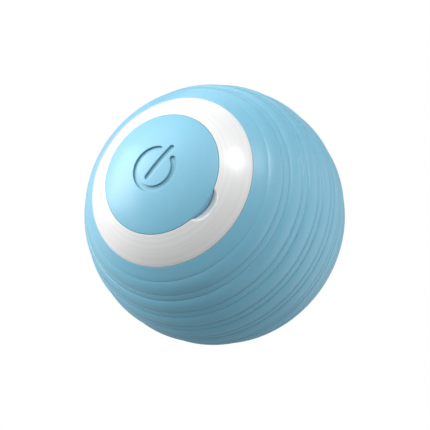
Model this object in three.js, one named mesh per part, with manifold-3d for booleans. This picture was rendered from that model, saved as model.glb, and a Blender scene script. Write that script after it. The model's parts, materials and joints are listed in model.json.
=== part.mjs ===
// A self rolling cat ball: two plastic half shells in a ribbed soft sleeve, with a soft cap over the
// charging socket and switch, and a geared motor inside that swings a heavy weight round the ball's axis.
// Millimetres, +Z up. The origin is the ball's centre, its spin axis is Y, and the cap is at -Y.

import * as THREE from 'three';
import { mergeVertices } from 'three/addons/utils/BufferGeometryUtils.js';
import Module from 'manifold-3d';

const wasm = await Module();
wasm.setup();

// Ball
const ballRadius = 21.5;
const poleDrop = 0.13; // how much lower than the rib crests the smooth pole faces lie
const sleeveThickness = 1.5;
const shellWall = 1.6;
const ringRadius = 13.91; // outer edge of the white ring, where the sleeve ends
const ringDrop = 0.14; // how far the ring and the sleeve dip where they meet
const ringCrown = 3; // width of the ring's outer part that dips
const capRadius = 9.7;

// Gaps
const seatGap = 0.3; // between separate pieces that rest on each other
const fitGap = 0.12; // between pieces pressed, glued or soldered together
const runGap = 0.06; // between a shaft and the hole that it turns in
const swingGap = 0.6; // round the swinging weight

// Ribs of the sleeve, as angles from the cap's pole
const ribPitchAngle = 10; // the middle rib lies on the equator
const valleyShare = 1 / 3; // of a pitch
const valleyDepth = 0.14;
const crownSag = 0.05; // how much a crown falls from its middle to its edges
const shoulderOffsetAngle = 6.1; // from the white ring to where the smooth band rises to the first rib
const shoulderHeight = 0.06;
const lipShare = 1 / 6; // how much of a valley's width each sloping side takes

// Joint between the two shells
const seamGap = 0.2;
const tongueLength = 1.4;

// Cap and the well that holds it
const capRimHeight = 1.3; // side wall of the cap above its underside
const skirtLength = 1.2;
const skirtWall = 0.9;
const pressTravel = 0.25;
const wellFloor = 1.2;
const ledgeWidth = 1; // of the wall that the circuit board rests on
const scoopWidth = 6.4; // finger scoop in the white ring beside the cap
const scoopReach = 1.35;
const scoopDepth = 0.7;

// Power symbol on the cap
const iconRadius = 3.25;
const iconGroove = 0.85;
const iconDepth = 0.4;
const iconGapAngle = 27.5; // half of the ring's opening, to each side of the bar
const barWidth = 0.75;
const barTop = 4.5;
const barBottom = 2.05;

// Circuit board and what stands on it
const boardInset = 1.07; // from the shell's inner wall to the board's edge
const boardPartGap = 1.7; // from the parts near the board's edge to the wall round them
const boardThickness = 0.8;
const socketWidth = 8.94;
const socketDepth = 3.26;
const socketHeight = 5;
const socketWall = 0.3;
const tongueWidth = 6.7;
const tongueDepth = 0.7;
const socketOffset = 4.6; // from the axis, towards -Z
const switchWidth = 4.5;
const switchRoom = 0.5; // above the switch
const switchOffset = 2.4; // from the axis, towards +Z
const stemRadius = 1.1;
const stemSink = 0.9; // of the stem inside the switch body
const ledRadius = 1;
const ledPlace = { x: 5, z: 3.2 };
const controlChip = { width: 3.9, length: 4.9, height: 1.4 };
const chargeChip = { width: 3, length: 1.7, height: 1.1 };
const chargeChipPlace = -2.2; // along Z
const sensorChipGap = 1.1; // between the sensor and the control chip
const sensorRadius = 1;
const sensorLength = 6;

// Battery
const cellRoomShare = 0.3; // of the room along the axis that the cell and the motor fill together
const cellCorner = 1.5;
const padThickness = 0.4;
const padMargin = 2;

// Chassis
const plateThickness = 1.2;
const frameWall = 0.8;
const holderWall = 1.2;
const windowRadius = 4;
const bossRadius = 1.9;
const bossMargin = 0.2; // from a boss to the chassis plate's edge
const bossAngles = [90, 210, 330];
const screwRadius = 0.5;
const headRadius = 1.1;
const headHeight = 0.7;

// Motor
const motorRadius = 6;
const flatDepth = 1; // how much each flat side takes off the round can
const endCapThickness = 1;
const motorBossRadius = 2;
const motorBossLength = 0.8;
const terminalOffset = 3.2;
const terminalWidth = 1;
const terminalThickness = 0.3;
const terminalLength = 0.8;
const pinRadius = 0.4; // the motor's shaft and the gearbox's pins

// Gearbox
const gearModule = 0.3;
const pinionTeeth = 8;
const wheelTeeth = 22;
const pressureAngle = 22;
const addendumShare = 0.85; // of the module
const dedendumShare = 1.2;
const backlash = 0.09;
const gearWidth = 1;
const layerGap = 0.25;
const gearSideGap = 0.3;
const gearboxWall = 0.8;
const gearboxPlateThickness = 1;
const gearboxScrewAngles = [200, 340];
const gearboxScrewRadius = 0.5;
const gearboxHeadRadius = 0.9;
const gearboxHeadHeight = 0.6;
const postRadius = 1.1;

// Weight and what carries it
const shaftRadius = 1;
const hubRadius = 2.4;
const hubHeight = 2;
const armThickness = 1.2;
const weightHalfAngle = 70;
const pegRadius = 0.6;
const pegLength = 2;
const pegAngle = 35; // to each side of straight down

// Rear bush
const bushWall = 0.6;
const bushFlange = 0.8;
const bushFlangeThickness = 0.5;
const bushLength = 1.6;

// Wires
const wireRadius = 0.4;
const wireBend = 1;

// Smoothness
const ballSegments = 40;
const roundSegments = 24;
const smallSegments = 12;
const cornerSegments = 4;
const arcSteps = 3;
const overrun = 0.5; // how far a cutter reaches past what it cuts

const degrees = Math.PI / 180;

// Sizes that follow from the ones above
const acrossSphere = (radius, y) => Math.sqrt(radius * radius - y * y);
const onCircle = (radius, angle) => ({
  x: radius * Math.cos(angle * degrees),
  z: radius * Math.sin(angle * degrees),
});
const poleRadius = ballRadius - poleDrop;
const sleeveInner = ballRadius - sleeveThickness;
const shellOuter = sleeveInner - seatGap;
const cavityRadius = shellOuter - shellWall;
const ringEdge = poleRadius - ringDrop; // from the centre to where the ring and the sleeve meet
const ringAngle = Math.asin(ringRadius / ringEdge);
const crownAngle = ringAngle - ringCrown / poleRadius;
const capAngle = Math.asin(capRadius / poleRadius);
const wellRadius = capRadius + fitGap;
const wellAngle = Math.asin(wellRadius / poleRadius);
const capRim = Math.cos(capAngle) * poleRadius;
const capUnder = capRim - capRimHeight;
const islandTop = capUnder - pressTravel - fitGap;
const skirtInner = capRadius - skirtWall;
const islandRadius = skirtInner - seatGap;
const moatFloor = capUnder - skirtLength - pressTravel - fitGap;
const frontFloor = moatFloor - wellFloor;
const pocketRadius = islandRadius - wellFloor;
const pocketTop = islandTop - wellFloor;
const stemTop = capUnder - pressTravel - fitGap / 2;

// Places along the axis, from the rear. Y runs from the cap to the far pole.
const rearFloor = capUnder - seatGap; // outer face of the rear shell's floor, under its cap
const rearInner = rearFloor - wellFloor;
const shaftRear = rearFloor - fitGap;
const bushSeat = rearFloor - bushFlangeThickness;
const bushFront = bushSeat - bushLength;
const hubRear = bushFront - seatGap;
const armFront = hubRear - hubHeight;
const armRear = armFront + armThickness;
const coverRear = armFront - seatGap - gearboxHeadHeight - fitGap;
const coverFront = coverRear - gearboxPlateThickness;
const layerPitch = gearWidth + layerGap;
const layerCount = 4;
const layerFront = (layer) => coverFront - (layerCount - layer) * layerPitch;
const baseRear = layerFront(0) - layerGap;
const baseFront = baseRear - gearboxPlateThickness;
const motorRear = baseFront - seatGap;

// Places along the axis, from the front. The cell and the motor fill what is left.
const boardFront = -(islandTop - socketHeight - fitGap);
const boardRear = boardFront + boardThickness;
const padFront = boardRear + fitGap;
const cellFront = padFront + padThickness + fitGap;
const cellThickness = cellRoomShare * (motorRear - cellFront - plateThickness - 2 * seatGap);
const cellRear = cellFront + cellThickness;
const plateFront = cellRear + seatGap;
const plateRear = plateFront + plateThickness;
const motorFront = plateRear + seatGap;
const canFront = motorFront + endCapThickness + fitGap;

// Places across the axis
const plateEdge = Math.max(Math.abs(plateFront), Math.abs(plateRear));
const plateRadius = acrossSphere(cavityRadius, plateEdge) - seatGap;
const bossCircle = plateRadius - bossRadius - bossMargin;
const bossPlaces = bossAngles.map((angle) => onCircle(bossCircle, angle));
const bossFront = plateFront - seatGap; // end face of the front shell's screw bosses
const boardRadius = acrossSphere(cavityRadius, boardFront) - boardInset;
const boardWall = boardRadius - ledgeWidth; // inside of the wall that the board rests on
const leadEnd = boardRadius - wireRadius; // where the cell's leads pass the frame
const cellEnd = leadEnd - wireRadius - seatGap - frameWall;
const cellLength = 2 * (cellEnd - seatGap);
const cellSide = Math.max(...bossPlaces.map((place) => place.x)) - bossRadius - seatGap - frameWall;
const cellWidth = 2 * (cellSide - seatGap);
const leadSide = cellSide + frameWall + seatGap + wireRadius; // where the motor's leads pass the frame
const motorFlat = motorRadius - flatDepth; // from the axis to each flat side
const holderOuter = motorRadius + fitGap + holderWall;
const holderRear = baseFront - seatGap;
const gearDistance = (gearModule * (pinionTeeth + wheelTeeth)) / 2;
const wheelTip = gearModule * (wheelTeeth / 2 + addendumShare);
const gearRoom = gearDistance + wheelTip + gearSideGap;
const gearboxInner = Math.max(gearRoom, motorRadius + fitGap + 2 * postRadius);
const gearboxOuter = gearboxInner + gearboxWall;
const postCircle = gearboxInner - postRadius;
const weightInner = gearboxOuter + swingGap;
const weightOuter = cavityRadius - swingGap;
const weightFront = plateRear + fitGap + headHeight + swingGap;
const weightRear = armFront - fitGap;
const chassisScrewTip = cellFront + seatGap;
const gearboxScrewTip = (plateRear + holderRear) / 2;

// Colours and finishes
function finish(color, roughness, metalness = 0) {
  return new THREE.MeshStandardMaterial({ color, roughness, metalness });
}

const softBlue = finish('#7fbcd6', 0.45);
const whiteShell = finish('#f2f3f3', 0.3);
const greenBoard = finish('#1f6b45', 0.55);
const steel = finish('#b9bcbf', 0.3, 1);
const brass = finish('#c9a24a', 0.3, 1);
const ironWeight = finish('#7d8083', 0.5, 1);
const blackPlastic = finish('#1c1d1f', 0.5);
const greyPlastic = finish('#c9ccce', 0.5);
const gearWhite = finish('#ece7d8', 0.45);
const silverFoil = finish('#c2c6c9', 0.4, 0.6);
const foam = finish('#2c2d30', 0.9);
const clearLens = finish('#eaf4f0', 0.15);
const redWire = finish('#b3261e', 0.45);
const blackWire = finish('#1b1b1c', 0.45);

// Geometry helpers

// A closed geometry with shared vertices and no empty triangles.
function cleaned(source) {
  const bare = new THREE.BufferGeometry();
  bare.setAttribute('position', source.getAttribute('position'));
  if (source.index) {
    bare.setIndex(source.index);
  }
  const merged = mergeVertices(bare);
  const index = merged.index.array;
  const kept = [];
  for (let i = 0; i < index.length; i += 3) {
    const [a, b, c] = [index[i], index[i + 1], index[i + 2]];
    if (a !== b && b !== c && c !== a) {
      kept.push(a, b, c);
    }
  }
  merged.setIndex(kept);
  return merged;
}

function solid(geometry) {
  const closed = cleaned(geometry);
  return new wasm.Manifold(
    new wasm.Mesh({
      numProp: 3,
      vertProperties: Float32Array.from(closed.getAttribute('position').array),
      triVerts: Uint32Array.from(closed.index.array),
    }),
  );
}

function geometryOf(manifold) {
  const mesh = manifold.getMesh();
  const geometry = new THREE.BufferGeometry();
  geometry.setAttribute('position', new THREE.BufferAttribute(Float32Array.from(mesh.vertProperties), 3));
  geometry.setIndex(Array.from(mesh.triVerts));
  return geometry;
}

const point = (across, along) => new THREE.Vector2(across, along);

// A point at a distance from the origin, by its angle from the cap's pole.
const polarPoint = (radius, angle) => point(radius * Math.sin(angle), -radius * Math.cos(angle));

// Points on a circle about the origin, in steps of one angle.
function polarArc(radius, from, to, steps) {
  const points = [];
  for (let i = 0; i <= steps; i += 1) {
    points.push(polarPoint(radius, from + ((to - from) * i) / steps));
  }
  return points;
}

const angleAt = (radius, y) => Math.acos(-y / radius);

// A profile turned round the Y axis. It starts and ends on the axis, or closes on itself.
function turned(profile, segments) {
  const last = profile[profile.length - 1];
  const open = profile[0].x > 0 || last.x > 0;
  const points = open ? [...profile, profile[0].clone()] : profile;
  return new THREE.LatheGeometry(points, segments);
}

// A flat outline in X and Z, given thickness along Y.
function slab(shape, low, high, curveSegments = cornerSegments) {
  const options = { depth: high - low, bevelEnabled: false, curveSegments };
  const geometry = new THREE.ExtrudeGeometry(shape, options);
  geometry.rotateX(Math.PI / 2);
  geometry.translate(0, high, 0);
  return geometry;
}

function tube(inner, outer, low, high, segments) {
  const profile = [point(inner, low), point(outer, low), point(outer, high), point(inner, high)];
  return turned(profile, segments);
}

function rod(radius, low, high, segments = smallSegments) {
  const profile = [point(0, low), point(radius, low), point(radius, high), point(0, high)];
  return turned(profile, segments);
}

function block(width, length, low, high) {
  const geometry = new THREE.BoxGeometry(width, high - low, length);
  geometry.translate(0, (low + high) / 2, 0);
  return geometry;
}

const moved = (geometry, x, z) => geometry.translate(x, 0, z);

function roundedOutline(width, length, corner) {
  const shape = new THREE.Shape();
  const x = width / 2 - corner;
  const z = length / 2 - corner;
  shape.absarc(x, z, corner, 0, Math.PI / 2);
  shape.absarc(-x, z, corner, Math.PI / 2, Math.PI);
  shape.absarc(-x, -z, corner, Math.PI, Math.PI * 1.5);
  shape.absarc(x, -z, corner, Math.PI * 1.5, Math.PI * 2);
  return shape;
}

// A wedge about the axis, centred on straight down.
function wedge(halfAngle, reach, low, high) {
  const shape = new THREE.Shape();
  const middle = -Math.PI / 2;
  shape.moveTo(0, 0);
  shape.absarc(0, 0, reach, middle - halfAngle * degrees, middle + halfAngle * degrees);
  shape.lineTo(0, 0);
  return slab(shape, low, high, smallSegments);
}

const ball = new THREE.Group();
const shell = new THREE.Group();
const lid = new THREE.Group();
const works = new THREE.Group();
ball.add(shell, lid, works);

function add(group, name, geometry, material) {
  const mesh = new THREE.Mesh(cleaned(geometry), material);
  mesh.name = name;
  group.add(mesh);
  return mesh;
}

// Sleeve

// Outer surface of the sleeve: a smooth band, a shoulder, then crowns with narrow valleys between them.
function sleeveOutline() {
  const half = [];
  const edge = ringAngle + fitGap / poleRadius;
  const shoulder = ringAngle + shoulderOffsetAngle * degrees;
  half.push(polarPoint(ringEdge, edge));
  half.push(...polarArc(poleRadius, (edge + shoulder) / 2, shoulder, 1));
  const pitch = ribPitchAngle * degrees;
  const valleyCount = Math.floor((Math.PI / 2 - shoulder) / pitch);
  const valleyHalf = (pitch * valleyShare) / 2;
  const crownEdge = ballRadius - crownSag;
  const floor = ballRadius - crownSag - valleyDepth;
  const shoulderTop = poleRadius + shoulderHeight;
  const firstValley = Math.PI / 2 - (valleyCount - 1 / 2) * pitch;
  half.push(...polarArc(shoulderTop, (shoulder + firstValley - valleyHalf) / 2, firstValley - valleyHalf, 1));
  const lip = 2 * valleyHalf * lipShare;
  for (let middle = firstValley; middle < Math.PI / 2; middle += pitch) {
    half.push(...polarArc(floor, middle - valleyHalf + lip, middle + valleyHalf - lip, 1));
    half.push(polarPoint(crownEdge, middle + valleyHalf));
    half.push(polarPoint(ballRadius, middle + pitch / 2));
    half.push(polarPoint(crownEdge, middle + pitch - valleyHalf));
  }
  const front = half.filter((p) => p.y < -seamGap);
  const rear = front.map((p) => point(p.x, -p.y)).reverse();
  return [...front, point(ballRadius, 0), ...rear];
}

{
  const edge = ringAngle + fitGap / poleRadius;
  const inner = polarArc(sleeveInner, Math.PI - edge, edge, arcSteps * 3);
  add(shell, 'ridged_sleeve', turned([...sleeveOutline(), ...inner], ballSegments), softBlue);
}

// Shells

const tongueOuter = shellOuter - (shellWall - fitGap) / 2;
const rebate = tongueOuter + fitGap;

// The white ring from the well's edge outward: round, then falling away to meet the sleeve.
const ringFace = [
  ...polarArc(poleRadius, wellAngle, crownAngle, 1),
  polarPoint(poleRadius - ringDrop / 4, (crownAngle + ringAngle) / 2),
  polarPoint(ringEdge, ringAngle),
];

// The inner surface of a shell, from one place along the axis to another.
const innerArc = (from, to) =>
  polarArc(cavityRadius, angleAt(cavityRadius, from), angleAt(cavityRadius, to), arcSteps * 2);

function frontShell() {
  const ledge = boardFront - fitGap;
  const profile = [
    point(0, -islandTop),
    point(islandRadius, -islandTop),
    point(islandRadius, -moatFloor),
    point(wellRadius, -moatFloor),
    ...ringFace,
    ...polarArc(shellOuter, ringAngle, angleAt(shellOuter, -seamGap / 2), arcSteps * 2),
    point(tongueOuter, -seamGap / 2),
    point(tongueOuter, tongueLength),
    ...innerArc(tongueLength, ledge),
    point(boardWall, ledge),
    point(boardWall, -frontFloor),
    point(pocketRadius, -frontFloor),
    point(pocketRadius, -pocketTop),
    point(0, -pocketTop),
  ];
  let body = solid(turned(profile, ballSegments));
  const middle = shellOuter - shellWall / 2;
  const inside = solid(new THREE.SphereGeometry(middle, roundSegments, roundSegments / 2));
  for (const place of bossPlaces) {
    const post = solid(moved(rod(bossRadius, boardFront - overrun, bossFront), place.x, place.z));
    const hole = rod(screwRadius + fitGap, chassisScrewTip - overrun, bossFront + overrun);
    body = body.add(post.intersect(inside)).subtract(solid(moved(hole, place.x, place.z)));
  }
  const through = -islandTop - overrun;
  const past = -frontFloor + overrun;
  const socketHole = roundedOutline(socketWidth + 2 * fitGap, socketDepth + 2 * fitGap, socketDepth / 2);
  body = body.subtract(solid(moved(slab(socketHole, through, past), 0, -socketOffset)));
  body = body.subtract(solid(moved(rod(stemRadius + fitGap, through, past), 0, switchOffset)));
  body = body.subtract(solid(moved(rod(ledRadius + fitGap, through, past), ledPlace.x, ledPlace.z)));
  const scoop = new THREE.SphereGeometry(1, 2 * smallSegments, smallSegments);
  scoop.scale(scoopReach, scoopDepth, scoopWidth / 2);
  scoop.rotateZ(wellAngle);
  scoop.translate(wellRadius, -capRim, 0);
  return geometryOf(body.subtract(solid(scoop)));
}

function rearShell() {
  const bushHole = shaftRadius + runGap + bushWall + fitGap;
  const flangeHole = bushHole + bushFlange + fitGap;
  const flangeSeat = bushSeat - fitGap;
  const stop = tongueLength + fitGap;
  return turned(
    [
      point(rebate, seamGap / 2),
      ...polarArc(shellOuter, angleAt(shellOuter, seamGap / 2), Math.PI - ringAngle, arcSteps * 2),
      ...ringFace.map((p) => point(p.x, -p.y)).reverse(),
      point(wellRadius, rearFloor),
      point(flangeHole, rearFloor),
      point(flangeHole, flangeSeat),
      point(bushHole, flangeSeat),
      point(bushHole, rearInner),
      ...innerArc(rearInner, stop),
      point(rebate, stop),
    ],
    ballSegments,
  );
}

add(shell, 'front_shell', frontShell(), whiteShell);
add(shell, 'rear_shell', rearShell(), whiteShell);

// Caps

// The ring and the bar of the power symbol, seen from outside the ball with +Z up.
function iconOutlines() {
  const half = iconGroove / 2;
  const start = (90 + iconGapAngle) * degrees;
  const end = (450 - iconGapAngle) * degrees;
  const tips = [start, end].map((angle) => point(iconRadius * Math.cos(angle), iconRadius * Math.sin(angle)));
  const ring = new THREE.Shape();
  ring.absarc(0, 0, iconRadius + half, start, end, false);
  ring.absarc(tips[1].x, tips[1].y, half, end, end + Math.PI, false);
  ring.absarc(0, 0, iconRadius - half, end, start, true);
  ring.absarc(tips[0].x, tips[0].y, half, start + Math.PI, start + 2 * Math.PI, false);
  const round = barWidth / 2;
  const bar = new THREE.Shape();
  bar.absarc(0, barTop - round, round, 0, Math.PI, false);
  bar.absarc(0, round - barBottom, round, Math.PI, 2 * Math.PI, false);
  return [ring, bar];
}

function powerCap(domeRadius) {
  const skirtEnd = capUnder - skirtLength;
  return turned(
    [
      ...polarArc(domeRadius, 0, Math.asin(capRadius / domeRadius), arcSteps * 2),
      point(capRadius, -skirtEnd),
      point(skirtInner, -skirtEnd),
      point(skirtInner, -capUnder),
      point(0, -capUnder),
    ],
    ballSegments,
  );
}

{
  const core = solid(powerCap(poleRadius - iconDepth));
  let cap = solid(powerCap(poleRadius));
  for (const outline of iconOutlines()) {
    const cutter = solid(slab(outline, -poleRadius - overrun, -capUnder - overrun, smallSegments));
    cap = cap.subtract(cutter.subtract(core));
  }
  add(lid, 'power_cap', geometryOf(cap), softBlue);
}

add(
  shell,
  'rear_cap',
  turned(
    [
      point(0, capUnder),
      point(capRadius, capUnder),
      ...polarArc(poleRadius, Math.PI - capAngle, Math.PI, arcSteps * 2),
    ],
    ballSegments,
  ),
  softBlue,
);

// Circuit board

// A piece with room cut in it for the front shell's screw bosses.
function clearOfBosses(body, low, high) {
  return bossPlaces.reduce((rest, place) => {
    const room = rod(bossRadius + fitGap, low, high);
    return rest.subtract(solid(moved(room, place.x, place.z)));
  }, body);
}

{
  const disc = solid(rod(boardRadius, boardFront, boardRear, ballSegments));
  const board = clearOfBosses(disc, boardFront - overrun, boardRear + overrun);
  add(works, 'main_board', geometryOf(board), greenBoard);
}
const boardTop = boardFront - fitGap; // where the parts on the board's cap side stand

{
  const top = boardTop - socketHeight + fitGap;
  const outline = roundedOutline(socketWidth, socketDepth, socketDepth / 2 - socketWall);
  const outside = solid(slab(outline, top, boardTop));
  const hollowWidth = socketWidth - 2 * socketWall;
  const hollowDepth = socketDepth - 2 * socketWall;
  const hollow = roundedOutline(hollowWidth, hollowDepth, hollowDepth / 2 - socketWall);
  const shellPart = outside.subtract(solid(slab(hollow, top - overrun, boardTop - socketWall)));
  add(works, 'charging_socket', geometryOf(shellPart).translate(0, 0, -socketOffset), steel);
  const tongueEnd = boardTop - socketWall - fitGap;
  const tongue = block(tongueWidth, tongueDepth, top + socketWall, tongueEnd);
  add(works, 'socket_tongue', moved(tongue, 0, -socketOffset), blackPlastic);
}

const switchTop = switchRoom - pocketTop;
const stemEnd = switchTop + stemSink;
{
  const body = solid(block(switchWidth, switchWidth, switchTop, boardTop));
  const hole = rod(stemRadius + runGap, switchTop - overrun, stemEnd + pressTravel + fitGap);
  add(works, 'switch_body', moved(geometryOf(body.subtract(solid(hole))), 0, switchOffset), blackPlastic);
  add(works, 'switch_stem', moved(rod(stemRadius, -stemTop, stemEnd), 0, switchOffset), greyPlastic);
}

{
  const domeBase = -pocketTop - fitGap;
  const dome = polarArc(ledRadius, 0, Math.PI / 2, arcSteps).map((p) => point(p.x, p.y + domeBase));
  const lens = turned([...dome, point(ledRadius, boardTop), point(0, boardTop)], smallSegments);
  add(works, 'status_led', moved(lens, ledPlace.x, ledPlace.z), clearLens);
}

const sensorPlace = acrossSphere(boardWall, sensorLength / 2) - boardPartGap - sensorRadius;
const controlChipPlace = sensorPlace - sensorRadius - sensorChipGap - controlChip.length / 2;

for (const [name, chip, side, place] of [
  ['control_chip', controlChip, -1, controlChipPlace],
  ['charge_chip', chargeChip, 1, chargeChipPlace],
]) {
  const geometry = block(chip.width, chip.length, boardTop - chip.height, boardTop);
  const reach = acrossSphere(boardWall, Math.abs(place) + chip.length / 2) - boardPartGap;
  add(works, name, moved(geometry, side * (reach - chip.width / 2), place), blackPlastic);
}

{
  const can = new THREE.CylinderGeometry(sensorRadius, sensorRadius, sensorLength, smallSegments);
  can.rotateZ(Math.PI / 2);
  can.translate(0, boardTop - sensorRadius, sensorPlace);
  add(works, 'vibration_sensor', can, brass);
}

// Battery

{
  const outline = roundedOutline(cellWidth, cellLength, cellCorner);
  add(works, 'battery_cell', slab(outline, cellFront, cellRear), silverFoil);
}
{
  const width = cellWidth - 2 * padMargin;
  const length = cellLength - 2 * padMargin;
  const outline = roundedOutline(width, length, cellCorner);
  add(works, 'battery_pad', slab(outline, padFront, padFront + padThickness), foam);
}

// Chassis: a plate with a frame for the cell in front and a holder for the motor behind

const leadPlane = plateFront + fitGap + wireRadius; // where the motor's leads cross the plate
const cellLeadSide = 2.5;

const motorOutline = (radius, flat) => {
  const shape = new THREE.Shape();
  const turn = Math.acos(flat / radius);
  shape.absarc(0, 0, radius, turn, Math.PI - turn, false);
  shape.absarc(0, 0, radius, Math.PI + turn, 2 * Math.PI - turn, false);
  return shape;
};

function chassis() {
  const frameFront = boardRear + seatGap;
  let body = solid(rod(plateRadius, plateFront, plateRear, ballSegments));
  const frameSide = cellSide + frameWall;
  const frameEnd = cellEnd + frameWall;
  const frameOutside = block(2 * frameSide, 2 * frameEnd, frameFront, plateFront + plateThickness / 2);
  const frameInside = block(2 * cellSide, 2 * cellEnd, frameFront - overrun, plateFront);
  const cavity = solid(new THREE.SphereGeometry(cavityRadius - seatGap, ballSegments, roundSegments));
  const frame = solid(frameOutside).subtract(solid(frameInside)).intersect(cavity);
  body = body.add(clearOfBosses(frame, frameFront - overrun, plateFront));
  const leadReach = cellLeadSide + 2 * wireRadius;
  const leadWindow = block(2 * leadReach, 2 * frameWall, frameFront - overrun, cellRear);
  body = body.subtract(solid(moved(leadWindow, 0, cellEnd + frameWall / 2)));
  body = body.add(solid(rod(holderOuter, plateRear - plateThickness / 2, holderRear, roundSegments)));
  for (const angle of gearboxScrewAngles) {
    const place = onCircle(postCircle, angle);
    const post = rod(postRadius + seatGap, plateRear - plateThickness / 2, holderRear);
    body = body.add(solid(moved(post, place.x, place.z)));
  }
  const bore = motorOutline(motorRadius + fitGap, motorFlat + fitGap);
  body = body.subtract(solid(slab(bore, plateRear, holderRear + overrun, smallSegments)));
  body = body.subtract(solid(rod(windowRadius, plateFront - overrun, plateRear + overrun)));
  const slotReach = leadSide + wireRadius + seatGap;
  const slot = block(2 * slotReach, 2 * (wireRadius + seatGap), plateFront - overrun, plateRear);
  body = body.subtract(solid(slot));
  for (const angle of gearboxScrewAngles) {
    const place = onCircle(postCircle, angle);
    const hole = rod(gearboxScrewRadius + fitGap, gearboxScrewTip - overrun, holderRear + overrun);
    body = body.subtract(solid(moved(hole, place.x, place.z)));
  }
  for (const place of bossPlaces) {
    const hole = rod(screwRadius + fitGap, plateFront - overrun, plateRear + overrun);
    body = body.subtract(solid(moved(hole, place.x, place.z)));
  }
  return geometryOf(body);
}

add(works, 'chassis', chassis(), greyPlastic);

// A round-headed screw along the axis, its tip towards the cap.
function screw(radius, tip, under, head, height) {
  return turned(
    [
      point(0, tip),
      point(radius, tip + radius),
      point(radius, under),
      point(head, under),
      point(head, under + height / 2),
      point(head * Math.cos(Math.PI / 4), under + height),
      point(0, under + height),
    ],
    smallSegments,
  );
}

bossPlaces.forEach((place, i) => {
  const geometry = screw(screwRadius, chassisScrewTip, plateRear + fitGap, headRadius, headHeight);
  add(works, `chassis_screw_${i + 1}`, moved(geometry, place.x, place.z), steel);
});

// Motor

{
  const outline = motorOutline(motorRadius, motorFlat);
  add(works, 'motor_end_cap', slab(outline, motorFront, canFront - fitGap, smallSegments), blackPlastic);
  const can = solid(slab(outline, canFront, motorRear, smallSegments));
  const boss = solid(rod(motorBossRadius, motorRear - overrun, motorRear + motorBossLength));
  const bore = solid(rod(pinRadius + runGap, canFront + overrun, motorRear + motorBossLength + overrun));
  add(works, 'motor_can', geometryOf(can.add(boss).subtract(bore)), steel);
}
for (const [number, side] of [[1, 1], [2, -1]]) {
  const tabRear = motorFront - fitGap;
  const tab = block(terminalThickness, terminalWidth, tabRear - terminalLength, tabRear);
  add(works, `motor_terminal_${number}`, moved(tab, side * terminalOffset, 0), brass);
}

// Gears

// Half of a tooth's angle at a radius, on an involute flank.
function toothHalfAngle(teeth, radius) {
  const pitchRadius = (gearModule * teeth) / 2;
  const baseRadius = pitchRadius * Math.cos(pressureAngle * degrees);
  const involute = (angle) => Math.tan(angle) - angle;
  const atRadius = Math.acos(Math.min(1, baseRadius / radius));
  const atPitch = (Math.PI * gearModule - 2 * backlash) / (4 * pitchRadius);
  return atPitch + involute(pressureAngle * degrees) - involute(atRadius);
}

function gearOutline(teeth, boreRadius, phase) {
  const pitchRadius = (gearModule * teeth) / 2;
  const tip = pitchRadius + addendumShare * gearModule;
  const root = pitchRadius - dedendumShare * gearModule;
  const flank = [
    [root, -1],
    [tip, -1],
    [tip, 1],
    [root, 1],
  ];
  const shape = new THREE.Shape();
  const corners = [];
  for (let tooth = 0; tooth < teeth; tooth += 1) {
    const middle = phase + (tooth * 2 * Math.PI) / teeth;
    for (const [radius, side] of flank) {
      const angle = middle + side * toothHalfAngle(teeth, radius);
      corners.push(point(radius * Math.cos(angle), radius * Math.sin(angle)));
    }
  }
  shape.setFromPoints(corners);
  const hole = new THREE.Path();
  hole.absarc(0, 0, boreRadius, 0, 2 * Math.PI, true);
  shape.holes.push(hole);
  return shape;
}

// The phase that meshes a wheel with the pinion that drives it, where toward is the angle from the
// pinion's centre to the wheel's.
function meshedPhase(toward, pinionPhase) {
  return toward + Math.PI + (pinionTeeth / wheelTeeth) * (toward - pinionPhase) - Math.PI / wheelTeeth;
}

// A wheel in one layer with a pinion in the next, cut as one gear.
function doubleGear(layer, phase, boreRadius) {
  const low = layerFront(layer);
  const high = layerFront(layer + 1) + gearWidth;
  const wheel = slab(gearOutline(wheelTeeth, boreRadius, phase), low, low + gearWidth, smallSegments / 2);
  const pinion = slab(gearOutline(pinionTeeth, boreRadius, phase), low, high, smallSegments / 2);
  return geometryOf(solid(wheel).add(solid(pinion)));
}

const upward = Math.PI / 2;
const gearBore = pinRadius + runGap;
const wheelPhases = [meshedPhase(upward, 0)];
for (let layer = 1; layer < layerCount; layer += 1) {
  const toward = layer % 2 === 0 ? upward : -upward;
  wheelPhases.push(meshedPhase(toward, wheelPhases[layer - 1]));
}

{
  const shaftFront = canFront + overrun + seatGap;
  const shaft = rod(pinRadius, shaftFront, layerFront(0) + gearWidth);
  add(works, 'motor_shaft', shaft, steel);
  const pinion = gearOutline(pinionTeeth, pinRadius + runGap, 0);
  const pinionFront = Math.max(layerFront(0), motorRear + motorBossLength + runGap);
  add(works, 'motor_pinion', slab(pinion, pinionFront, layerFront(0) + gearWidth, smallSegments / 2), brass);
}

add(works, 'first_gear', moved(doubleGear(0, wheelPhases[0], gearBore), 0, gearDistance), gearWhite);
add(works, 'second_gear', doubleGear(1, wheelPhases[1], gearBore), gearWhite);
add(works, 'third_gear', moved(doubleGear(2, wheelPhases[2], gearBore), 0, gearDistance), gearWhite);
{
  const low = layerFront(layerCount - 1);
  const outline = gearOutline(wheelTeeth, shaftRadius + runGap, wheelPhases[3]);
  add(works, 'output_gear', slab(outline, low, low + gearWidth, smallSegments / 2), gearWhite);
}

// Gearbox frame

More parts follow.
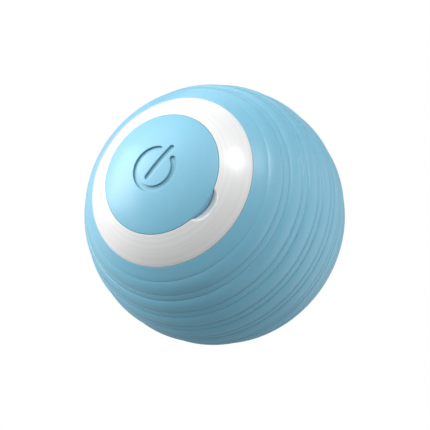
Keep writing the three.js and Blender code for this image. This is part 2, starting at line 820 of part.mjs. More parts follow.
function gearboxBase() {
  const wallRear = coverFront - fitGap;
  const bossHole = motorBossRadius + seatGap;
  let body = solid(
    turned(
      [
        point(bossHole, baseFront),
        point(gearboxOuter, baseFront),
        point(gearboxOuter, wallRear),
        point(gearboxInner, wallRear),
        point(gearboxInner, baseRear),
        point(bossHole, baseRear),
      ],
      roundSegments,
    ),
  );
  const inside = solid(rod(gearboxOuter - gearboxWall / 2, baseFront, wallRear, roundSegments));
  for (const angle of gearboxScrewAngles) {
    const place = onCircle(postCircle, angle);
    const post = solid(moved(rod(postRadius, baseFront, wallRear), place.x, place.z));
    const hole = rod(gearboxScrewRadius + fitGap, baseFront - overrun, wallRear + overrun);
    body = body.add(post.intersect(inside)).subtract(solid(moved(hole, place.x, place.z)));
  }
  const pinHole = moved(rod(gearBore, baseFront - overrun, baseRear + overrun), 0, gearDistance);
  return geometryOf(body.subtract(solid(pinHole)));
}

function gearboxCover() {
  const neck = shaftRadius + 2 * runGap;
  let body = solid(
    turned(
      [
        point(neck, coverFront),
        point(gearboxOuter, coverFront),
        point(gearboxOuter, coverRear),
        point(neck + gearboxPlateThickness, coverRear),
        point(neck + gearboxPlateThickness, coverRear + gearboxHeadHeight),
        point(neck, coverRear + gearboxHeadHeight),
      ],
      roundSegments,
    ),
  );
  for (const angle of gearboxScrewAngles) {
    const place = onCircle(postCircle, angle);
    const hole = rod(gearboxScrewRadius + fitGap, coverFront - overrun, coverRear + overrun);
    body = body.subtract(solid(moved(hole, place.x, place.z)));
  }
  const pinHole = moved(rod(gearBore, coverFront - overrun, coverRear + overrun), 0, gearDistance);
  return geometryOf(body.subtract(solid(pinHole)));
}

add(works, 'gearbox_base', gearboxBase(), greyPlastic);
add(works, 'gearbox_cover', gearboxCover(), greyPlastic);
add(works, 'gear_pin', moved(rod(pinRadius, baseFront + fitGap, coverRear - fitGap), 0, gearDistance), steel);
gearboxScrewAngles.forEach((angle, i) => {
  const place = onCircle(postCircle, angle);
  const under = coverRear + fitGap;
  const geometry = screw(gearboxScrewRadius, gearboxScrewTip, under, gearboxHeadRadius, gearboxHeadHeight);
  add(works, `gearbox_screw_${i + 1}`, moved(geometry, place.x, place.z), steel);
});

// Weight, its arm and its shaft

{
  const step = layerFront(layerCount - 1) - fitGap;
  const profile = [
    point(0, layerFront(1)),
    point(pinRadius, layerFront(1)),
    point(pinRadius, step),
    point(shaftRadius, step),
    point(shaftRadius, shaftRear),
    point(0, shaftRear),
  ];
  add(works, 'output_shaft', turned(profile, smallSegments), steel);
}

const pegCircle = (weightInner + acrossSphere(weightOuter, armFront)) / 2;
const pegPlaces = [-90 - pegAngle, -90 + pegAngle].map((angle) => onCircle(pegCircle, angle));
const armBore = shaftRadius + runGap;

{
  const rimAt = (y) => acrossSphere(weightOuter, y);
  const plate = turned(
    [
      point(armBore, armFront),
      point(rimAt(armFront), armFront),
      point(rimAt(armRear), armRear),
      point(armBore, armRear),
    ],
    ballSegments,
  );
  const sector = wedge(weightHalfAngle, ballRadius, armFront - overrun, armRear + overrun);
  let arm = solid(plate).intersect(solid(sector));
  arm = arm.add(solid(tube(armBore, hubRadius, armFront, hubRear, roundSegments)));
  for (const place of pegPlaces) {
    const peg = rod(pegRadius, weightRear - pegLength, armFront + armThickness / 2);
    arm = arm.add(solid(moved(peg, place.x, place.z)));
  }
  const bore = rod(armBore, armFront - overrun, hubRear + overrun);
  add(works, 'swing_arm', geometryOf(arm.subtract(solid(bore))), greyPlastic);
}

{
  const [from, to] = [weightFront, weightRear].map((y) => angleAt(weightOuter, y));
  const profile = [
    point(weightInner, weightFront),
    ...polarArc(weightOuter, from, to, arcSteps * 2),
    point(weightInner, weightRear),
  ];
  const sector = wedge(weightHalfAngle, ballRadius, weightFront - overrun, weightRear + overrun);
  let weight = solid(turned(profile, ballSegments)).intersect(solid(sector));
  for (const place of pegPlaces) {
    const hole = rod(pegRadius + fitGap, weightRear - pegLength - fitGap, weightRear + overrun);
    weight = weight.subtract(solid(moved(hole, place.x, place.z)));
  }
  add(works, 'counterweight', geometryOf(weight), ironWeight);
}

{
  const bore = shaftRadius + runGap;
  const barrel = bore + bushWall;
  const flange = barrel + bushFlange;
  const profile = [
    point(bore, bushFront),
    point(barrel, bushFront),
    point(barrel, bushSeat),
    point(flange, bushSeat),
    point(flange, rearFloor),
    point(bore, rearFloor),
  ];
  add(works, 'rear_bush', turned(profile, roundSegments), brass);
}

// Wires

// A wire that starts across the axis, bends, and runs straight towards the board.
function lead(start, corner, end) {
  const path = new THREE.CurvePath();
  const into = new THREE.Vector3().subVectors(start, corner).setLength(wireBend).add(corner);
  const out = new THREE.Vector3().subVectors(end, corner).setLength(wireBend).add(corner);
  path.add(new THREE.LineCurve3(start, into));
  path.add(new THREE.QuadraticBezierCurve3(into, corner, out));
  path.add(new THREE.LineCurve3(out, end));
  const section = new THREE.Shape();
  section.absarc(0, 0, wireRadius, 0, 2 * Math.PI);
  const options = { extrudePath: path, steps: smallSegments, curveSegments: cornerSegments };
  return new THREE.ExtrudeGeometry(section, options);
}

const boardSolder = boardRear + fitGap;
for (const [color, side, material] of [['red', 1, redWire], ['black', -1, blackWire]]) {
  const solderedAt = terminalOffset + terminalThickness / 2 + fitGap;
  const motorLead = lead(
    new THREE.Vector3(side * solderedAt, leadPlane, 0),
    new THREE.Vector3(side * leadSide, leadPlane, 0),
    new THREE.Vector3(side * leadSide, boardSolder, 0),
  );
  add(works, `motor_lead_${color}`, motorLead, material);
  const middle = (cellFront + cellRear) / 2;
  const cellLead = lead(
    new THREE.Vector3(side * cellLeadSide, middle, cellLength / 2 + fitGap),
    new THREE.Vector3(side * cellLeadSide, middle, leadEnd),
    new THREE.Vector3(side * cellLeadSide, boardSolder, leadEnd),
  );
  add(works, `battery_lead_${color}`, cellLead, material);
}

export default ball;
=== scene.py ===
"""A self rolling cat ball: the looks of its sleeve, caps, shells and works.

Metres, +Z up. The ball's centre is the origin, its spin axis is Y and its power cap is at -Y.
"""

import json
from math import acos, asin, atan2, ceil, cos, hypot, pi, radians, sin, sqrt, tan

import bmesh
import bpy
from mathutils import Matrix, Vector
from mathutils.geometry import delaunay_2d_cdt


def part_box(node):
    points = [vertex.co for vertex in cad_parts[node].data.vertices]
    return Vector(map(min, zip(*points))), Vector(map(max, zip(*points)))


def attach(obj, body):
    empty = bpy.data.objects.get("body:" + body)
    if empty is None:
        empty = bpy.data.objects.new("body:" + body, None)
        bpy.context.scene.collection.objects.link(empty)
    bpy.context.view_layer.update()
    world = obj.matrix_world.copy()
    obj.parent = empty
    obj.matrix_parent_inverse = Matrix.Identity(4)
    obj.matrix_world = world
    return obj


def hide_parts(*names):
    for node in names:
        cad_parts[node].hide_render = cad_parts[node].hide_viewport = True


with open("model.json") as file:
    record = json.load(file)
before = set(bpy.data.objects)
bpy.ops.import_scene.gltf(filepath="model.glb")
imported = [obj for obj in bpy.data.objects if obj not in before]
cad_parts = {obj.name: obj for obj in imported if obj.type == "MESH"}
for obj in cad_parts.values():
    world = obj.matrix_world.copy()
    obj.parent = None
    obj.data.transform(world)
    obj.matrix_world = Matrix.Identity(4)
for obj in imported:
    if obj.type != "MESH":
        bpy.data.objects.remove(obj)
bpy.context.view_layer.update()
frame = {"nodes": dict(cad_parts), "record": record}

MM = 0.001

# Sizes read from the frame
sleeve_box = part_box("ridged_sleeve")
front_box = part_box("front_shell")
rear_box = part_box("rear_shell")
cap_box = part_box("power_cap")
rear_cap_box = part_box("rear_cap")
board_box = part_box("main_board")
socket_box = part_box("charging_socket")
tongue_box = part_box("socket_tongue")
stem_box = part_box("switch_stem")
led_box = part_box("status_led")
screw_boxes = [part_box(f"chassis_screw_{k + 1}") for k in range(3)]
bush_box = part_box("rear_bush")

ball_radius = sleeve_box[1].x
pole_radius = rear_cap_box[1].y
shell_outer = front_box[1].x
cap_radius = cap_box[1].x
cap_rim = sqrt(pole_radius**2 - cap_radius**2)
cap_under = rear_cap_box[0].y
skirt_end = -cap_box[1].y
tongue_end = front_box[1].y
seam = rear_box[0].y
rear_floor = bush_box[1].y
board_front = board_box[0].y
board_radius = board_box[1].x
boss_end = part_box("battery_cell")[1].y

# Sizes of the looks
sleeve_wall = 1.5 * MM
shell_wall = 1.6 * MM
floor_wall = 1.2 * MM
fit_gap = 0.12 * MM
seat_gap = 0.3 * MM
press_travel = 0.25 * MM
skirt_wall = 0.9 * MM
ledge_width = 1 * MM
boss_radius = 1.9 * MM
boss_hole = 0.62 * MM
bush_flange = 0.5 * MM
bush_wall = 0.8 * MM
tongue_round = 0.08 * MM
button_round = 0.2 * MM
lens_round = 0.35 * MM
works_round = 0.04 * MM  # on the edges of what the works are made of
sleeve_fit = 0.03 * MM  # between the sleeve's edge and the white ring
edge_round = 0.1 * MM  # on the moulded edges
cap_round = 0.07 * MM  # on the caps' rims
cap_fit = 0.05 * MM  # between a cap and the ring round it
ring_drop = 0.14 * MM  # how much the white ring's crown falls away at its outer edge
ring_crown = 3 * MM  # width of the ring's outer part that falls away
ring_edge = pole_radius - ring_drop
ring_angle = acos(sleeve_box[1].y / ring_edge) - fit_gap / pole_radius
sleeve_edge = ring_angle + sleeve_fit / pole_radius  # angle of the sleeve's edge from the pole

# Ribs of the sleeve: broad ribs with a narrow bead between each two, as angles from the middle rib
middle_rib = radians(91.45)  # from the power cap's pole
rib_pitch = radians(10.1)
bead_half = radians(1.65)
bead_drop = 0.19 * MM  # how much lower than a rib a bead lies
bead_sag = 0.09 * MM
rib_sag = 0.28 * MM  # how much a rib falls from its middle to its edges
crease_half = radians(0.48)
crease_depth = 0.07 * MM
bead_places = [(k + 0.5) * rib_pitch for k in range(4)]
shoulder_place = radians(44)  # where the first rib rises from the smooth band
first_rib = (shoulder_place + bead_places[-1] + bead_half) / 2
first_half = shoulder_place - first_rib
first_sag = 0.17 * MM
shoulder_half = radians(0.9)
shoulder_depth = 0.012 * MM

# Power symbol
icon_radius = 3.25 * MM
icon_groove = 0.85 * MM
icon_depth = 0.34 * MM
icon_gap = radians(27.5)
icon_round = 0.06 * MM  # on the groove's edges
wall_slope = 0.93  # the groove's walls, which get painted shade, are the faces whose normals lie less along the axis than this
bar_width = 0.75 * MM
bar_top = 4.5 * MM
bar_bottom = -2.05 * MM
bar_high = bar_top - bar_width / 2  # the middles of the bar's round ends
bar_low = bar_bottom + bar_width / 2

# Finger scoop in the white ring
scoop_width = 5.5 * MM
scoop_aside = 0.3 * MM  # of its middle, the way that the symbol's bar points
scoop_reach = 1.2 * MM  # past the cap's edge
scoop_depth = 1.1 * MM
scoop_swell = 0.75  # 0.5 makes a round bowl, 1 a shallower one with softer edges

# Fineness
turn_steps = 288
small_steps = 64
surface_step = 0.32 * MM
inner_step = 3 * surface_step  # on faces that other pieces hide
slope_step = 0.035 * MM
icon_step = 0.09 * MM
weld_reach = 0.0005 * MM  # vertices nearer than this are one
tiny = 1e-9  # a length in metres that counts as nothing


# Meshes


def arc(radius, start, end, step=surface_step):
    """Points (across, along) on a circle round the origin, by their angle from the cap's pole."""
    count = max(1, ceil(radius * abs(end - start) / step))
    angles = [start + (end - start) * i / count for i in range(count + 1)]
    return [(radius * sin(a), -radius * cos(a)) for a in angles]


def line(start, end, step=surface_step):
    """Points from start to end, without the last one."""
    count = max(1, ceil(hypot(end[0] - start[0], end[1] - start[1]) / step))
    return [tuple(start[k] + (end[k] - start[k]) * i / count for k in (0, 1)) for i in range(count)]


def fillet(before, corner, after, radius, steps=4):
    """The rounded corner between two stretches that meet at corner."""
    a = (Vector(before) - Vector(corner)).normalized()
    b = (Vector(after) - Vector(corner)).normalized()
    half = a.angle(b) / 2
    reach = radius / tan(half)
    start, end = Vector(corner) + a * reach, Vector(corner) + b * reach
    centre = Vector(corner) + (a + b).normalized() * (radius / sin(half))
    first = start - centre
    turn = first.angle_signed(end - centre)
    return [tuple(centre + Matrix.Rotation(-turn * i / steps, 2) @ first) for i in range(steps + 1)]


def outline(corners, step=surface_step):
    """A path through corners given as (across, along, radius), with its corners rounded."""
    points = [c[:2] for c in corners]
    path = []
    for i, (across, along, radius) in enumerate(corners):
        inner = 0 < i < len(corners) - 1
        here = (across, along)
        piece = fillet(points[i - 1], here, points[i + 1], radius) if inner and radius > 0 else [here]
        if path:
            path += line(path.pop(), piece[0], step)
        path += piece
    return path


def stadium(width, depth, middle, end_steps, inset=0):
    """Points (x, z) round a stadium shape, drawn in by inset. Each end has that many steps."""
    radius = depth / 2 - inset
    reach = (width - depth) / 2
    points = []
    for side in (1, -1):
        for k in range(end_steps + 1):
            turn = side * pi / 2 - pi * k / end_steps
            points.append((side * reach + radius * cos(turn), middle + radius * sin(turn)))
    return points


def middle_of(box):
    """The middle of a box as it lies across the axis."""
    return Vector((box[0].x + box[1].x, 0, box[0].z + box[1].z)) / 2


def mesh_object(name, vertices, faces):
    mesh = bpy.data.meshes.new(name)
    mesh.from_pydata(vertices, [], faces)
    mesh.update()
    made = bpy.data.objects.new(name, mesh)
    bpy.context.scene.collection.objects.link(made)
    return made


def lathe(name, path, steps=turn_steps, shape=None, open_start=False):
    """A path of (across, along) turned round the Y axis. A path off the axis at both ends closes on itself.
    shape(point) may move a point. open_start leaves a hole where the path starts off the axis."""
    vertices, rings = [], []
    for across, along in path:
        count = 1 if across < tiny else steps
        ring = []
        for k in range(count):
            turn = 2 * pi * k / count
            place = Vector((across * cos(turn), along, across * sin(turn)))
            ring.append(len(vertices))
            vertices.append(shape(place) if shape else place)
        rings.append(ring)
    open_path = open_start or (path[0][0] < tiny and path[-1][0] < tiny)
    pairs = list(zip(rings, rings[1:])) + ([] if open_path else [(rings[-1], rings[0])])
    faces = []
    for a, b in pairs:
        for k in range(steps):
            n = (k + 1) % steps
            if len(a) == 1:
                faces.append((a[0], b[n], b[k]))
            elif len(b) == 1:
                faces.append((a[k], a[n], b[0]))
            else:
                faces.append((a[k], a[n], b[n], b[k]))
    return mesh_object(name, vertices, faces)


def smooth(made, limit=radians(40)):
    """Smooth shading, with the edges sharper than the limit kept crisp."""
    mesh = made.data
    mesh.polygons.foreach_set("use_smooth", [True] * len(mesh.polygons))
    mesh.set_sharp_from_angle(angle=limit)
    return made


def joined(name, pieces):
    """One mesh made of several, which are removed."""
    build = bmesh.new()
    for piece in pieces:
        build.from_mesh(piece.data)
        bpy.data.objects.remove(piece)
    made = mesh_object(name, [], [])
    build.to_mesh(made.data)
    build.free()
    return made


def combine(body, other, operation="DIFFERENCE"):
    """Cuts a closed mesh out of another one, or joins or crosses them, and removes it."""
    change = body.modifiers.new("combine", "BOOLEAN")
    change.operation = operation
    change.solver = "EXACT"
    change.object = other
    graph = bpy.context.evaluated_depsgraph_get()
    result = bpy.data.meshes.new_from_object(body.evaluated_get(graph))
    body.modifiers.clear()
    body.data = result
    bpy.data.objects.remove(other)
    return body


# Sleeve


def ease(value):
    value = min(1, max(0, value))
    return value * value * (3 - 2 * value)


def crease_places():
    """Angles of the creases from the middle rib, how wide to each side and how deep they are."""
    places = [place + side * bead_half for place in bead_places for side in (-1, 1)]
    creases = [(place, crease_half, crease_depth) for place in places]
    return creases + [(shoulder_place, shoulder_half, shoulder_depth)]


def sleeve_radius(angle):
    """Distance of the sleeve's surface from the centre, at an angle from the power cap's pole."""
    off = abs(angle - middle_rib)
    bead = min(bead_places, key=lambda place: abs(off - place))
    rib = rib_pitch * round(off / rib_pitch)
    if off > shoulder_place:
        edge = min(angle, pi - angle) - ring_angle
        band = pi - middle_rib - shoulder_place if angle > middle_rib else middle_rib - shoulder_place
        radius = pole_radius - ring_drop * (1 - ease(edge / (band - ring_angle)))
    elif abs(off - bead) < bead_half:
        radius = ball_radius - bead_drop - bead_sag * ((off - bead) / bead_half) ** 2
    elif off > bead_places[-1]:
        radius = ball_radius - first_sag * ((off - first_rib) / first_half) ** 2
    else:
        radius = ball_radius - rib_sag * ((off - rib) / (rib_pitch / 2 - bead_half)) ** 2
    for place, half, depth in crease_places():
        radius -= depth * ease(1 - abs(off - place) / half)
    return radius


def sleeve_angles():
    """Angles from one edge of the sleeve to the other, close together at the creases."""
    creases = crease_places()
    coarse, fine = surface_step / ball_radius, slope_step / ball_radius
    angles, angle = [], sleeve_edge
    while angle < pi - sleeve_edge - coarse / 2:
        angles.append(angle)
        off = abs(angle + fine - middle_rib)
        near = any(abs(off - place) < half + fine for place, half, depth in creases)
        angle += fine if near else coarse
    return angles + [pi - sleeve_edge]


def make_sleeve():
    outside = []
    for angle in sleeve_angles():
        radius = sleeve_radius(angle)
        outside.append((radius * sin(angle), -radius * cos(angle)))
    inside = arc(ball_radius - sleeve_wall, pi - sleeve_edge, sleeve_edge, inner_step)
    near_rim = fillet(inside[-1], outside[0], outside[1], edge_round, 3)
    far_rim = fillet(outside[-2], outside[-1], inside[0], edge_round, 3)
    return lathe("ribbed_sleeve", near_rim + outside[1:-1] + far_rim + inside)


# Shells

cavity = shell_outer - shell_wall
tongue_outer = shell_outer - (shell_wall - fit_gap) / 2
well_radius = cap_radius + cap_fit
well_angle = asin(well_radius / pole_radius)
island_top = cap_under - press_travel - fit_gap
island_radius = cap_radius - skirt_wall - seat_gap
moat_floor = skirt_end - press_travel - fit_gap
front_floor = moat_floor - floor_wall
pocket_radius = island_radius - floor_wall
pocket_top = island_top - floor_wall
board_wall = board_radius - ledge_width


def angle_at(radius, along):
    return acos(-along / radius)


def ring_surface():
    """The white ring's outer face, from the well's edge to the sleeve's."""
    ring = []
    for across, along in arc(pole_radius, well_angle, ring_angle, surface_step / 2):
        angle = atan2(across, -along)
        fall = max(0, 1 - (ring_angle - angle) * pole_radius / ring_crown)
        share = 1 - ring_drop * fall**2 / pole_radius
        ring.append((across * share, along * share))
    return ring


def well_edge(ring):
    """The rounded edge between the well's wall and the white ring."""
    corner = ring[0]
    below = (corner[0], corner[1] + ledge_width)
    return fillet(below, corner, ring[1], cap_round)


def shell_outside(ring, along):
    """From the ring's edge down the step under the sleeve, and round to the seam."""
    step_down = arc(shell_outer, ring_angle, angle_at(shell_outer, along), inner_step)
    rim = fillet(ring[-2], ring[-1], step_down[0], edge_round / 2, 3)
    return ring[1:-1] + rim + step_down


def scooped(place):
    """Lowers the white ring and the well's wall where the finger scoop is."""
    if place.x <= 0 or place.y > -moat_floor:
        return place
    chord = sqrt(well_radius**2 - scoop_width**2 / 4)
    out = (place.x - chord) / (well_radius + scoop_reach - chord)
    aside = 2 * (place.z - scoop_aside) / scoop_width
    inside = 1 - max(0, out) ** 2 - aside**2
    if inside <= 0 or hypot(place.x, place.z) < well_radius - scoop_reach / 2:
        return place
    dip = scoop_depth * inside**scoop_swell
    share = min(1, (-moat_floor - place.y) / (cap_rim - moat_floor))
    return Vector((place.x, place.y + dip * share, place.z))


def slot_cutter(name, width, depth, middle, low, high):
    """A cutter with a stadium-shaped section, along Y."""
    section = stadium(width, depth, middle, small_steps // 2)
    count = len(section)
    vertices = [(x, y, z) for y in (low, high) for x, z in section]
    sides = [(k, (k + 1) % count, count + (k + 1) % count, count + k) for k in range(count)]
    ends = [tuple(reversed(range(count))), tuple(range(count, 2 * count))]
    return mesh_object(name, vertices, sides + ends)


def round_cutter(name, radius, middle, low, high):
    made = lathe(name, [(0, low), (radius, low), (radius, high), (0, high)], small_steps)
    made.data.transform(Matrix.Translation(middle))
    return made


def screw_rods(name, radius, low, high):
    """A rod along Y at each of the chassis screws."""
    return joined(name, [round_cutter(name, radius, middle_of(box), low, high) for box in screw_boxes])


def make_front_shell():
    ring = ring_surface()
    well = outline(
        [
            (0, -island_top, 0),
            (island_radius, -island_top, 2 * edge_round),
            (island_radius, -moat_floor, edge_round),
            (well_radius, -moat_floor, edge_round),
            (well_radius, ring[0][1] + edge_round, 0),
        ]
    )
    ledge = board_front - fit_gap
    inside = outline([(tongue_outer, -seam, 0), (tongue_outer, tongue_end, 0)], inner_step)
    inside += arc(cavity, angle_at(cavity, tongue_end), angle_at(cavity, ledge), inner_step)
    inside += [
        (board_wall, ledge),
        (board_wall, -front_floor),
        (pocket_radius, -front_floor),
        (pocket_radius, -pocket_top),
        (0, -pocket_top),
    ]
    path = well[:-1] + well_edge(ring) + shell_outside(ring, -seam) + inside
    made = lathe("white_front_shell", path, shape=scooped)
    middle_wall = shell_outer - shell_wall / 2
    posts = screw_rods("posts", boss_radius, ledge, boss_end)
    combine(posts, lathe("ball", arc(middle_wall, 0, pi, inner_step)), "INTERSECT")
    combine(made, posts, "UNION")
    combine(made, screw_rods("screw_holes", boss_hole, screw_boxes[0][0].y - fit_gap, boss_end + fit_gap))
    low, high = -island_top - seat_gap, -front_floor + seat_gap
    width = socket_box[1].x - socket_box[0].x + 2 * fit_gap
    depth = socket_box[1].z - socket_box[0].z + 2 * fit_gap
    combine(made, slot_cutter("slot", width, depth, middle_of(socket_box).z, low, high))
    for box in (stem_box, led_box):
        radius = (box[1].x - box[0].x) / 2 + fit_gap
        combine(made, round_cutter("hole", radius, middle_of(box), low, high))
    return made


def make_rear_shell():
    ring = ring_surface()
    bush_hole = bush_box[1].x + fit_gap
    barrel = bush_hole - bush_wall
    rebate = tongue_outer + fit_gap
    stop = tongue_end + fit_gap
    outer = [(across, -along) for across, along in reversed(shell_outside(ring, -seam))]
    edge = [(across, -along) for across, along in reversed(well_edge(ring))]
    well = outline(
        [
            (well_radius, -ring[0][1] - edge_round, 0),
            (well_radius, rear_floor, edge_round),
            (bush_hole, rear_floor, 0),
        ]
    )
    rear_inner = rear_floor - floor_wall
    inside = [
        (bush_hole, rear_floor - bush_flange - fit_gap),
        (barrel, rear_floor - bush_flange - fit_gap),
        (barrel, rear_inner),
    ]
    inside += arc(cavity, angle_at(cavity, rear_inner), angle_at(cavity, stop), inner_step)
    path = [(rebate, seam)] + outer + edge + well[1:] + inside + [(rebate, stop)]
    return lathe("white_rear_shell", path)


# Caps

disc_radius = bar_top + surface_step  # of the power cap's middle, which carries the symbol


def groove(grow):
    """Outlines of the power symbol's two grooves, as (x, z), grown outward by that much."""
    half = icon_groove / 2 + grow
    ring_steps = ceil(2 * (pi - icon_gap) * icon_radius / icon_step)
    end_steps = ceil(pi * icon_groove / 2 / icon_step)
    ring = []
    for side in (1, -1):
        radius = icon_radius + side * half
        for k in range(ring_steps + 1):
            turn = side * (icon_gap + 2 * (pi - icon_gap) * k / ring_steps)
            ring.append((radius * sin(turn), radius * cos(turn)))
        out = Vector((-side * sin(icon_gap), cos(icon_gap)))
        onward = Vector((side * cos(icon_gap), sin(icon_gap)))
        for k in range(1, end_steps):
            turn = pi * k / end_steps
            ring.append(tuple(out * (icon_radius + side * half * cos(turn)) + onward * half * sin(turn)))
    half = bar_width / 2 + grow
    side_steps = ceil((bar_high - bar_low) / icon_step)
    bar = []
    for side in (1, -1):
        for k in range(side_steps):
            share = k / side_steps if side > 0 else 1 - k / side_steps
            bar.append((side * half, bar_high + (bar_low - bar_high) * share))
        for k in range(end_steps):
            turn = pi * k / end_steps
            end = bar_low if side > 0 else bar_high
            bar.append((side * half * cos(turn), end - side * half * sin(turn)))
    return ring, bar


def groove_section():
    """The groove's side as (grow, depth): a rounded lip, an upright wall and a rounded floor."""
    quarter = [pi / 2 * k / 4 for k in range(5)]
    lip = [(icon_round * (1 - sin(a)), icon_round * (1 - cos(a))) for a in quarter]
    floor = [(icon_round * (cos(a) - 1), icon_depth + icon_round * (sin(a) - 1)) for a in quarter]
    return lip + floor


def on_dome(x, z, depth=0):
    """The point of the cap's outer face over (x, z), sunk by that depth."""
    out = sqrt(pole_radius**2 - x * x - z * z)
    share = 1 - depth / pole_radius
    return Vector((x * share, -out * share, z * share))


def engraved_disc():
    """The middle of the power cap as vertices and faces: dome, grooves and their floors."""
    vertices, faces = [], []
    section = groove_section()
    flat = [loop for grow, depth in section for loop in groove(grow)]
    for part in (0, 1):
        rows = [flat[2 * r + part] for r in range(len(section))]
        half = (icon_groove, bar_width)[part] / 2
        rows.append(groove(-half)[part])
        depths = [depth for grow, depth in section] + [icon_depth]
        count, first = len(rows[0]), len(vertices)
        for row, depth in zip(rows, depths):
            vertices += [on_dome(x, z, depth) for x, z in row]
        for r in range(len(rows) - 1):
            for k in range(count):
                a, b = first + r * count + k, first + r * count + (k + 1) % count
                faces.append((a, b, b + count, a + count))
    lips = groove(icon_round)
    turns = [2 * pi * k / turn_steps for k in range(turn_steps)]
    rim = [(disc_radius * cos(turn), disc_radius * sin(turn)) for turn in turns]
    points = [Vector(p) for loop in (*lips, rim) for p in loop]
    edges, start = [], 0
    for loop in (*lips, rim):
        edges += [(start + k, start + (k + 1) % len(loop)) for k in range(len(loop))]
        start += len(loop)
    row_step = surface_step * sqrt(3) / 2
    rows = int(disc_radius / row_step)
    for row in range(-rows, rows + 1):
        for k in range(-rows - 1, rows + 2):
            x, z = (k + 0.5 * (row % 2)) * surface_step, row * row_step
            inside = hypot(x, z) < disc_radius - surface_step / 2
            if inside and icon_distance(x, z) > surface_step / 2:
                points.append(Vector((x, z)))
    whole_hull = 0
    spots, _, triangles = delaunay_2d_cdt(points, edges, [], whole_hull, tiny)[:3]
    first = len(vertices)
    vertices += [on_dome(x, z) for x, z in spots]
    for face in triangles:
        middle = sum((spots[k] for k in face), Vector((0, 0))) / len(face)
        if icon_distance(*middle) > icon_round / 2:
            faces.append(tuple(first + k for k in face))
    return vertices, faces


def icon_distance(x, z):
    """Distance in metres from the edge of the power symbol's grooves, below 0 inside them."""
    turn = abs(atan2(x, z))
    if turn > icon_gap:
        ring = abs(hypot(x, z) - icon_radius)
    else:
        ring = hypot(abs(x) - icon_radius * sin(icon_gap), z - icon_radius * cos(icon_gap))
    nearest = min(bar_high, max(bar_low, z))
    return min(ring - icon_groove / 2, hypot(x, z - nearest) - bar_width / 2)


def lid_face(start):
    """The outer face of a cap from that radius out to its rim."""
    return arc(pole_radius, asin(start / pole_radius), asin(cap_radius / pole_radius))


def make_power_cap():
    top = lid_face(disc_radius)
    skirt_inner = cap_radius - skirt_wall
    rim = fillet(top[-2], top[-1], (cap_radius, -skirt_end), cap_round, 5)
    sides = outline(
        [
            (cap_radius, rim[-1][1], 0),
            (cap_radius, -skirt_end, edge_round),
            (skirt_inner, -skirt_end, edge_round),
            (skirt_inner, -cap_under, edge_round),
            (0, -cap_under, 0),
        ]
    )
    made = lathe("blue_power_cap", top[:-1] + rim + sides[1:], open_start=True)
    build = bmesh.new()
    build.from_mesh(made.data)
    vertices, faces = engraved_disc()
    placed = [build.verts.new(place) for place in vertices]
    for face in faces:
        build.faces.new([placed[k] for k in face])
    bmesh.ops.remove_doubles(build, verts=build.verts, dist=weld_reach)
    bmesh.ops.recalc_face_normals(build, faces=build.faces)
    build.to_mesh(made.data)
    build.free()
    return made


def paint_groove_shade(cap, finish):
    """Paints shade on the walls of the power symbol's grooves, as a darker, duller blue in a second slot."""
    cap.data.materials.append(finish)
    for face in cap.data.polygons:
        if hypot(face.center.x, face.center.z) < disc_radius and abs(face.normal.y) < wall_slope:
            face.material_index = 1


def make_rear_cap():
    top = lid_face(0)
    rim = fillet(top[-2], top[-1], (cap_radius, -cap_under), cap_round, 5)
    under = outline([(cap_radius, rim[-1][1], 0), (cap_radius, -cap_under, edge_round), (0, -cap_under, 0)])
    path = [(across, -along) for across, along in reversed(top[:-1] + rim + under[1:])]
    return lathe("blue_rear_cap", path)


# What shows in the well when the cap is off


def make_socket():
    """The socket's drawn steel shell, with a rolled lip."""
    wall = 0.3 * MM
    low, high = socket_box
    half = wall / 2
    turns = [pi * k / 6 for k in range(7)]
    lip = [(half - half * cos(turn), low.y + half - half * sin(turn)) for turn in turns]
    rings = [(0, high.y)] + lip + [(wall, high.y - wall)]
    end_steps = small_steps // 2 - 1
    vertices = []
    for inset, along in rings:
        section = stadium(high.x - low.x, high.z - low.z, middle_of(socket_box).z, end_steps, inset)
        vertices += [(x, along, z) for x, z in section]
    count = len(vertices) // len(rings)
    faces = []
    for r in range(len(rings) - 1):
        for k in range(count):
            n = (k + 1) % count
            faces.append((r * count + k, r * count + n, (r + 1) * count + n, (r + 1) * count + k))
    faces.append(tuple(reversed(range(count))))
    faces.append(tuple(range((len(rings) - 1) * count, len(rings) * count)))
    return mesh_object("usb_socket_shell", vertices, faces)


def bevelled_block(name, low, high, radius):
    """A block with rounded edges."""
    build = bmesh.new()
    bmesh.ops.create_cube(build, size=1)
    size = high - low
    bmesh.ops.scale(build, vec=size, verts=build.verts)
    bmesh.ops.translate(build, vec=(low + high) / 2, verts=build.verts)
    bmesh.ops.bevel(build, geom=build.edges[:], offset=radius, segments=3, affect="EDGES", profile=0.5)
    made = mesh_object(name, [], [])
    build.to_mesh(made.data)
    build.free()
    return made


def make_contacts():
    """Gilt contacts on both faces of the socket's tongue."""
    low, high = tongue_box
    count, width, proud = 12, 0.25 * MM, 0.03 * MM
    pitch = (high.x - low.x) / (count + 1)
    made = []
    for side, face in ((1, high.z), (-1, low.z)):
        for k in range(count):
            x = low.x + pitch * (k + 1)
            a = Vector((x - width / 2, low.y + 4 * proud, face - proud * side))
            b = Vector((x + width / 2, high.y - 4 * proud, face + proud * side))
            corner_low = Vector(min(p, q) for p, q in zip(a, b))
            corner_high = Vector(max(p, q) for p, q in zip(a, b))
            name = f"socket_contact_{'upper' if side > 0 else 'lower'}_{k + 1}"
            made.append(bevelled_block(name, corner_low, corner_high, proud / 2))
    return made


def round_piece(name, box, top_round):
    """A pin or lens along Y in place of a CAD node, with a rounded front end."""
    low, high = box
    radius = (high.x - low.x) / 2
    corners = [(0, low.y, 0), (radius, low.y, top_round), (radius, high.y, 0), (0, high.y, 0)]
    made = lathe(name, outline(corners, radius / 3), small_steps)
    made.data.transform(Matrix.Translation(middle_of(box)))
    return made


# Finishes


